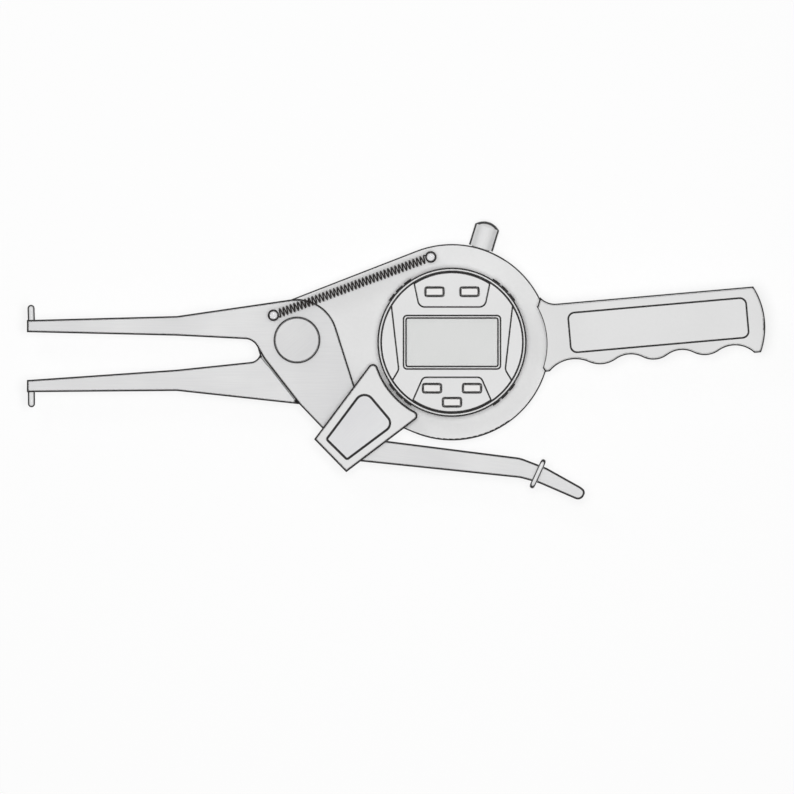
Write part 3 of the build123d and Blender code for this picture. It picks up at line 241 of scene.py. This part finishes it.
# Posts and shafts, turned and polished chromed steel: small hard highlights, nearly a mirror
dress(surface("polished_chromed_steel", ("#D2D2D4", "#E4E4E5"), grain_mm=(1.2, 0.3), detail=2.0,
              bump_mm=0.002, roughness=(0.18, 0.28), metallic=0.9),
      "housing_spring_post", "arm_spring_post", "pivot_shaft", "drive_pin")

# The pivot's cap, chromed steel brushed across the gauge: an even sheen that turns with the view
dress(surface("satin_chromed_steel_cap", ("#D2D2D3", "#DFDFDF"), grain_mm=(10.0, 0.4), detail=3.0,
              bump_mm=0.008, roughness=(0.36, 0.48), metallic=0.8, turn_deg=40.0),
      "pivot_cap")

# The spindle and its domed cap, satin polished steel: pale, with a dark streak of painted shade down each
# flank
dress(surface("satin_polished_steel_stub", STEEL_TONES, grain_mm=(1.2, 0.3), detail=2.0, bump_mm=0.003,
              roughness=(0.34, 0.44), metallic=0.6, turn_deg=73.0, slopes=STUB_FLANKS, corners=None),
      "spindle", "spindle_cap")

# Contact pins and the collar's wire, ground and polished hard metal: brighter, with narrower dark flanks of
# painted shade
pin_polish = surface("polished_carbide_pin", ("#D2D2D3", "#E2E2E2"), grain_mm=(1.0, 0.3), detail=2.0,
                     bump_mm=0.002, roughness=(0.26, 0.36), metallic=0.6, turn_deg=90.0, slopes=PIN_FLANKS,
                     corners=None)
dress(pin_polish, "fixed_contact", "moving_contact")

# Screws and stampings, bright zinc plate: cool and faintly blue, with lively highlights
dress(surface("bright_zinc_plated_steel", ("#B9BCC0", "#D3D5D7"), grain_mm=(2.0, 0.5), detail=3.0,
              bump_mm=0.004, roughness=(0.22, 0.36), metallic=0.95, turn_deg=30.0),
      "fixed_arm_screws", "link_cover_screws", "back_cover_screws", "sensor_base_screws", "handle_screws",
      "trigger_lever_screws", "display_case_screws", "pivot_nut", "drive_lever", "spindle_yoke",
      "swivel_retainer", "battery_contact", "battery")

# Castings, stoved light grey enamel: a closed even gloss over a faint orange peel
PAINT_TONES = ("#D9D9D9", "#DFDFDF")
ENAMEL = dict(grain_mm=(1.4, 1.4), detail=2.0, bump_mm=0.012, roughness=(0.38, 0.46),
              sockets={"Coat Weight": 0.15, "Coat Roughness": 0.25})
dress(surface("light_grey_stoving_enamel", PAINT_TONES, **ENAMEL), "back_cover", "link_cover", "battery_door")
# The housing's fillets carry painted shade, and its corners no line
dress(surface("light_grey_stoving_enamel_round", PAINT_TONES, **ENAMEL, slopes=FILLETS, corners=None),
      "housing")

# The link cover's inlay, brushed and anodised aluminium: a dry sheen, a shade cooler than the paint round it
dress(surface("satin_anodised_aluminium", ("#D6D6D8", "#E1E1E2"), grain_mm=(10.0, 0.4), detail=3.0,
              bump_mm=0.006, roughness=(0.34, 0.46), metallic=0.7, turn_deg=45.0, reach=INLAY_REACH),
      "link_cover_plate")

# Bushes, sintered bronze: warm, dull and speckled with pores
dress(surface("sintered_bronze", ("#A8824F", "#BE9A66"), grain_mm=(0.5, 0.5), detail=4.0, bump_mm=0.02,
              roughness=(0.40, 0.55), metallic=0.9),
      "pivot_bush", "lower_spindle_bush", "upper_spindle_bush")

# Mouldings, light grey ABS from a spark-eroded mould: an even matt grit that breaks up every reflection
MOULDED_TONES = ("#D8D8D8", "#E0E0E0")
HANDLE_TONES = ("#D6D6D6", "#DEDEDE")
SPARK_ERODED = dict(grain_mm=(0.6, 0.6), detail=4.0, bump_mm=0.02, roughness=(0.46, 0.58))
dress(surface("light_grey_abs_moulding", MOULDED_TONES, **SPARK_ERODED), "handle_back", "display_case",
      "sensor_base")
# The front handle's fillets carry painted shade as well as its corner lines
dress(surface("light_grey_abs_moulding_round", HANDLE_TONES, **SPARK_ERODED, slopes=FILLETS,
              reach=FINE_REACH),
      "handle_front")
dress(surface("light_grey_abs_ring", MOULDED_TONES, **SPARK_ERODED, reach=FINE_REACH), "bezel")

# Face, key panels, frame and handle plate, ABS from a smooth mould: calmer and a little glossier
FACE_TONES = ("#DADADA", "#DFDFDF")
TRIM_TONES = ("#D8D8D8", "#DDDDDD")
SMOOTH = dict(grain_mm=(0.9, 0.9), detail=2.0, bump_mm=0.005, roughness=(0.36, 0.44))
dress(surface("smooth_light_grey_abs", FACE_TONES, **SMOOTH, reach=FINE_REACH), "face_plate")
dress(surface("smooth_light_grey_panel", FACE_TONES, **SMOOTH, corners=LOW_STEPS), "upper_key_panel",
      "lower_key_panel")
dress(surface("smooth_light_grey_trim", TRIM_TONES, **SMOOTH, reach=INLAY_REACH), "handle_plate")
dress(surface("smooth_light_grey_frame", FACE_TONES, **SMOOTH, reach=FINE_REACH), "lcd_frame")

# Keys, caps with a coat of silicone rubber: the palest pieces, dry and soft, with no highlight
KEYS = ("upper_left", "upper_right", "lower_left", "lower_right", "lower_middle")
dress(surface("key_cap_rubber_coat", ("#E0DFDE", "#E7E6E5"), grain_mm=(0.4, 0.4), detail=3.0, bump_mm=0.008,
              roughness=(0.5, 0.6), corners=None),
      *["button_" + key for key in KEYS])

# The display, blank reflective liquid crystal behind glass: flat pale grey with a trace of green
dress(surface("blank_reflective_lcd", ("#DCDDDC", "#E1E1E1"), grain_mm=(0.3, 0.3), detail=1.0, bump_mm=0.001,
              roughness=(0.30, 0.34), paint_edge_shade=False),
      "lcd_glass")

# Boards, glass fibre under a green solder mask: glossy, and streaked where it runs over the tracks
dress(surface("green_solder_mask", ("#155A32", "#1D6B3D"), grain_mm=(0.5, 3.0), detail=3.0, bump_mm=0.01,
              roughness=(0.30, 0.42)),
      "display_board", "sensor_board", "slider_board")

# Gasket and stop, moulded nitrile rubber: nearly black, without gloss
dress(surface("soft_black_rubber", ("#1B1B1B", "#262626"), grain_mm=(0.4, 0.4), detail=3.0, bump_mm=0.01,
              roughness=(0.65, 0.78)),
      "back_cover_gasket", "arm_stop")

# The window, clear cast acrylic: one clean gloss, and a thin dark line of painted shade along its edges
ACRYLIC_TONE = "#E8E9E8"
ACRYLIC_IOR = 1.49
ACRYLIC_CLOUD_MM = 6
ACRYLIC_CLOUD_DETAIL = 2.0
ACRYLIC_GLOSS = (0.12, 0.18)
ACRYLIC_COVER = 0.15


def acrylic_window(name):
    """Clear acrylic that covers what is behind it only a little, and fully under the painted shade along its
    edges.
    """
    material, tree = start_material(name)
    cloud = add(tree, "ShaderNodeTexNoise",
                {"Scale": per(ACRYLIC_CLOUD_MM), "Detail": ACRYLIC_CLOUD_DETAIL},
                {"Vector": (add(tree, "ShaderNodeTexCoord"), "Object")})
    gloss = add(tree, "ShaderNodeMapRange", {"To Min": ACRYLIC_GLOSS[0], "To Max": ACRYLIC_GLOSS[1]},
                {"Value": (cloud, "Fac")})
    window_shade_line = edge_mask(tree, reach=FINE_REACH)
    tint = add(tree, "ShaderNodeMix", {"A": linear(ACRYLIC_TONE), "B": linear(PAINTED_SHADE_COLOUR)},
               {"Factor": (window_shade_line, "Value")}, data_type="RGBA")
    cover = add(tree, "ShaderNodeMapRange", {"To Min": ACRYLIC_COVER, "To Max": 1.0},
                {"Value": (window_shade_line, "Value")})
    shader = add(tree, "ShaderNodeBsdfPrincipled", {"IOR": ACRYLIC_IOR},
                 {"Base Color": (tint, "Result"), "Alpha": (cover, "Result"), "Roughness": (gloss, "Result")})
    add(tree, "ShaderNodeOutputMaterial", wires={"Surface": (shader, "BSDF")})
    return material


dress(acrylic_window("clear_acrylic_window"), "lcd_window")


def middle(node):
    """The middle of a CAD node's box to a hundredth of a millimetre, which drops what its facets take off."""
    low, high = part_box(node)
    return [round((a + b) / 2, 5) for a, b in zip(low, high)]


def put(name, data):
    """Adds an object to the scene."""
    made = bpy.data.objects.new(name, data)
    bpy.context.scene.collection.objects.link(made)
    return made


def wire_mesh(name, points, radius, sides, closed=False):
    """A round wire along a line of points: a ring, or an open wire with flat ends."""
    verts = []
    faces = []
    across = Vector((0, 0, 1))
    count = len(points)
    for number, spot in enumerate(points):
        if closed:
            ring_axis = (points[count // 2] - points[0]).cross(points[count // 4] - points[0])
            ahead = (points[(number + 1) % count] - points[number - 1]).normalized()
            across = ahead.cross(ring_axis).normalized()
        else:
            ahead = (points[min(number + 1, count - 1)] - points[max(number - 1, 0)]).normalized()
            across = (across - ahead * across.dot(ahead)).normalized()
        side = ahead.cross(across)
        for corner in range(sides):
            turn = 2 * math.pi * corner / sides
            verts.append(spot + (across * math.cos(turn) + side * math.sin(turn)) * radius)
    for number in range(count if closed else count - 1):
        here = number * sides
        there = (number + 1) % count * sides
        for corner in range(sides):
            beyond = (corner + 1) % sides
            faces.append((here + corner, here + beyond, there + beyond, there + corner))
    if not closed:
        faces.append(tuple(reversed(range(sides))))
        faces.append(tuple((count - 1) * sides + corner for corner in range(sides)))
    mesh = bpy.data.meshes.new(name)
    mesh.from_pydata(verts, [], faces)
    mesh.update()
    for face in mesh.polygons:
        face.use_smooth = len(face.vertices) == 4
    return put(name, mesh)


# The return spring, an open-wound extension spring: its hooks lie in the grooves of the two posts
SPRING_LEVEL = middle("return_spring")[2]
ARM_POST = Vector((*middle("arm_spring_post")[:2], SPRING_LEVEL))
HOUSING_POST = Vector((*middle("housing_spring_post")[:2], SPRING_LEVEL))
WIRE_R = 0.00030
WIRE_SIDES = 8
COIL_R = 0.00165
COIL_TURNS = 40.5
COIL_CLEAR = 0.0024
STEPS_PER_TURN = 18
HOOK_R = 0.00206
HOOK_OPEN_DEG = 35
HOOK_SWEEP_DEG = 290
HOOK_STEPS = 18
UP = Vector((0, 0, 1))


def hook(post, along, from_deg, sweep_deg):
    """Most of a turn of wire round a post."""
    side = Vector((-along.y, along.x, 0))
    turns = [math.radians(from_deg + sweep_deg * step / HOOK_STEPS) for step in range(HOOK_STEPS + 1)]
    return [post + along * (HOOK_R * math.cos(turn)) + side * (HOOK_R * math.sin(turn)) for turn in turns]


def spring_line():
    """The wire's centre line: a hook round the arm's post, the coil, and a hook round the housing's post."""
    run = HOUSING_POST - ARM_POST
    along = run.normalized()
    side = Vector((-along.y, along.x, 0))
    total = round(COIL_TURNS * STEPS_PER_TURN)
    length = run.length - 2 * COIL_CLEAR
    coil = []
    for step in range(total + 1):
        turn = math.pi + 2 * math.pi * step / STEPS_PER_TURN
        spot = ARM_POST + along * (COIL_CLEAR + length * step / total)
        coil.append(spot + side * (COIL_R * math.cos(turn)) + UP * (COIL_R * math.sin(turn)))
    return (hook(ARM_POST, along, HOOK_OPEN_DEG, HOOK_SWEEP_DEG) + coil
            + hook(HOUSING_POST, along, 180 - HOOK_OPEN_DEG, -HOOK_SWEEP_DEG))


# Its wire, drawn spring steel left black and oiled: dark, with a thin bright glint on each turn
spring = wire_mesh("spring_coil", spring_line(), WIRE_R, WIRE_SIDES)
spring.data.materials.append(
    surface("dark_oiled_spring_wire", ("#2A2625", "#3B3634"), grain_mm=(1.0, 0.4), detail=2.0, bump_mm=0.003,
            roughness=(0.30, 0.42), metallic=0.6, paint_edge_shade=False))
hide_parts("return_spring")
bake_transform(spring)

# The lever's collar, a closed ring of round wire that lies on the lever's two faces, square to its run
COLLAR_MIDDLE = Vector(middle("lever_collar"))
COLLAR_TURN = math.radians(65.4)
COLLAR_WIDTH = 0.0129
COLLAR_WIRE_R = 0.0011
COLLAR_SIDES = 24
COLLAR_BEND_R = 0.0016
BEND_STEPS = 6
lever_low, lever_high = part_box("trigger_lever")
LEVER_THICKNESS = lever_high[2] - lever_low[2]


def collar_line():
    """The wire's centre line: a rounded rectangle round the lever."""
    across = Vector((math.cos(COLLAR_TURN), math.sin(COLLAR_TURN), 0))
    bend_out = COLLAR_WIDTH / 2 - COLLAR_WIRE_R - COLLAR_BEND_R
    bend_up = LEVER_THICKNESS / 2 + COLLAR_WIRE_R - COLLAR_BEND_R
    points = []
    for quarter in range(4):
        side = 1 if quarter in (0, 3) else -1
        rise = 1 if quarter < 2 else -1
        centre = COLLAR_MIDDLE + across * side * bend_out + UP * rise * bend_up
        for step in range(BEND_STEPS + 1):
            turn = math.pi / 2 * (quarter + step / BEND_STEPS)
            points.append(centre + (across * math.cos(turn) + UP * math.sin(turn)) * COLLAR_BEND_R)
    return points


collar = wire_mesh("collar_ring", collar_line(), COLLAR_WIRE_R, COLLAR_SIDES, closed=True)
collar.data.materials.append(pin_polish)
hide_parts("lever_collar")
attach(collar, "moving_arm")

# The floor, matt white paper: the camera sees most of it as plain white, and the rest keeps a faint shadow
FLOOR_HALF = 3.0
FLOOR_LEVEL = -0.0001
PAPER_TONE = "#F4F4F4"
PAPER_WHITE_SHARE = 0.8
WHITE = "#FFFFFF"

floor_corners = [(x, y, FLOOR_LEVEL) for x, y in ((-FLOOR_HALF, -FLOOR_HALF), (FLOOR_HALF, -FLOOR_HALF),
                                                  (FLOOR_HALF, FLOOR_HALF), (-FLOOR_HALF, FLOOR_HALF))]
floor_mesh = bpy.data.meshes.new("floor")
floor_mesh.from_pydata(floor_corners, [], [(0, 1, 2, 3)])
floor = put("floor", floor_mesh)
paper, paper_tree = start_material("white_paper_floor")
paper_rays = add(paper_tree, "ShaderNodeLightPath")
matt = add(paper_tree, "ShaderNodeBsdfDiffuse", {"Color": linear(PAPER_TONE)})
white = add(paper_tree, "ShaderNodeEmission", {"Color": linear(WHITE), "Strength": 1.0})
white_share = add(paper_tree, "ShaderNodeMath", {1: PAPER_WHITE_SHARE}, {0: (paper_rays, "Is Camera Ray")},
                  operation="MULTIPLY")
sheet = add(paper_tree, "ShaderNodeMixShader",
            wires={0: (white_share, "Value"), 1: (matt, "BSDF"), 2: (white, "Emission")})
add(paper_tree, "ShaderNodeOutputMaterial", wires={"Surface": (sheet, "Shader")})
floor_mesh.materials.append(paper)

# The studio round it: a dim fill for the pieces, plain white for the camera and through the window, and for
# gloss a sky that brightens from low at the sides to overhead
FILL_LIGHT = 0.28
SKY_FROM_HEIGHT = 0.15
SKY_TO_HEIGHT = 0.85
SKY_LOW = 0.58
SKY_HIGH = 1.01

world = bpy.data.worlds.new("studio")
bpy.context.scene.world = world
world.use_nodes = True
sky = world.node_tree
sky.nodes.clear()
sky_rays = add(sky, "ShaderNodeLightPath")
height = add(sky, "ShaderNodeSeparateXYZ", wires={0: (add(sky, "ShaderNodeTexCoord"), "Generated")})
sky_level = add(sky, "ShaderNodeMapRange", {"From Min": SKY_FROM_HEIGHT, "From Max": SKY_TO_HEIGHT,
                                            "To Min": SKY_LOW, "To Max": SKY_HIGH},
                {"Value": (height, "Z")}, interpolation_type="SMOOTHSTEP")
fill = add(sky, "ShaderNodeMix", {"A": FILL_LIGHT},
           {"Factor": (sky_rays, "Is Glossy Ray"), "B": (sky_level, "Result")}, data_type="FLOAT")
straight = add(sky, "ShaderNodeMath",
               wires={0: (sky_rays, "Is Camera Ray"), 1: (sky_rays, "Is Transmission Ray")},
               operation="MAXIMUM")
strength = add(sky, "ShaderNodeMix", {"B": 1.0}, {"Factor": (straight, "Value"), "A": (fill, "Result")},
               data_type="FLOAT")
backdrop = add(sky, "ShaderNodeBackground", {"Color": linear(WHITE)}, {"Strength": (strength, "Result")})
add(sky, "ShaderNodeOutputWorld", wires={"Surface": (backdrop, "Background")})

LAMP_AIM = Vector((-0.02, -0.01, 0.0))


def lamp(name, spot, size, watts):
    """A square soft lamp aimed at the middle of the gauge, unseen by the camera and in gloss."""
    light = bpy.data.lights.new(name, "AREA")
    light.shape = "SQUARE"
    light.size = size
    light.energy = watts
    made = put(name, light)
    made.location = spot
    made.rotation_mode = "QUATERNION"
    made.rotation_quaternion = (LAMP_AIM - Vector(spot)).to_track_quat("-Z", "Y")
    made.visible_camera = False
    made.visible_glossy = False


lamp("overhead_softbox", spot=(0.0, 0.0, 1.2), size=0.4, watts=9.9)
lamp("key_softbox", spot=(-0.55, 0.65, 0.9), size=0.35, watts=1.3)

# The camera, square on to the front
camera_data = bpy.data.cameras.new("drawing_view")
camera_data.type = "ORTHO"
camera_data.ortho_scale = PIXEL * FRAME_PIXELS
camera = put("drawing_view", camera_data)
camera.location = (VIEW_X, VIEW_Y, VIEW_HEIGHT)
bpy.context.scene.camera = camera
bpy.context.scene.view_settings.view_transform = "Standard"
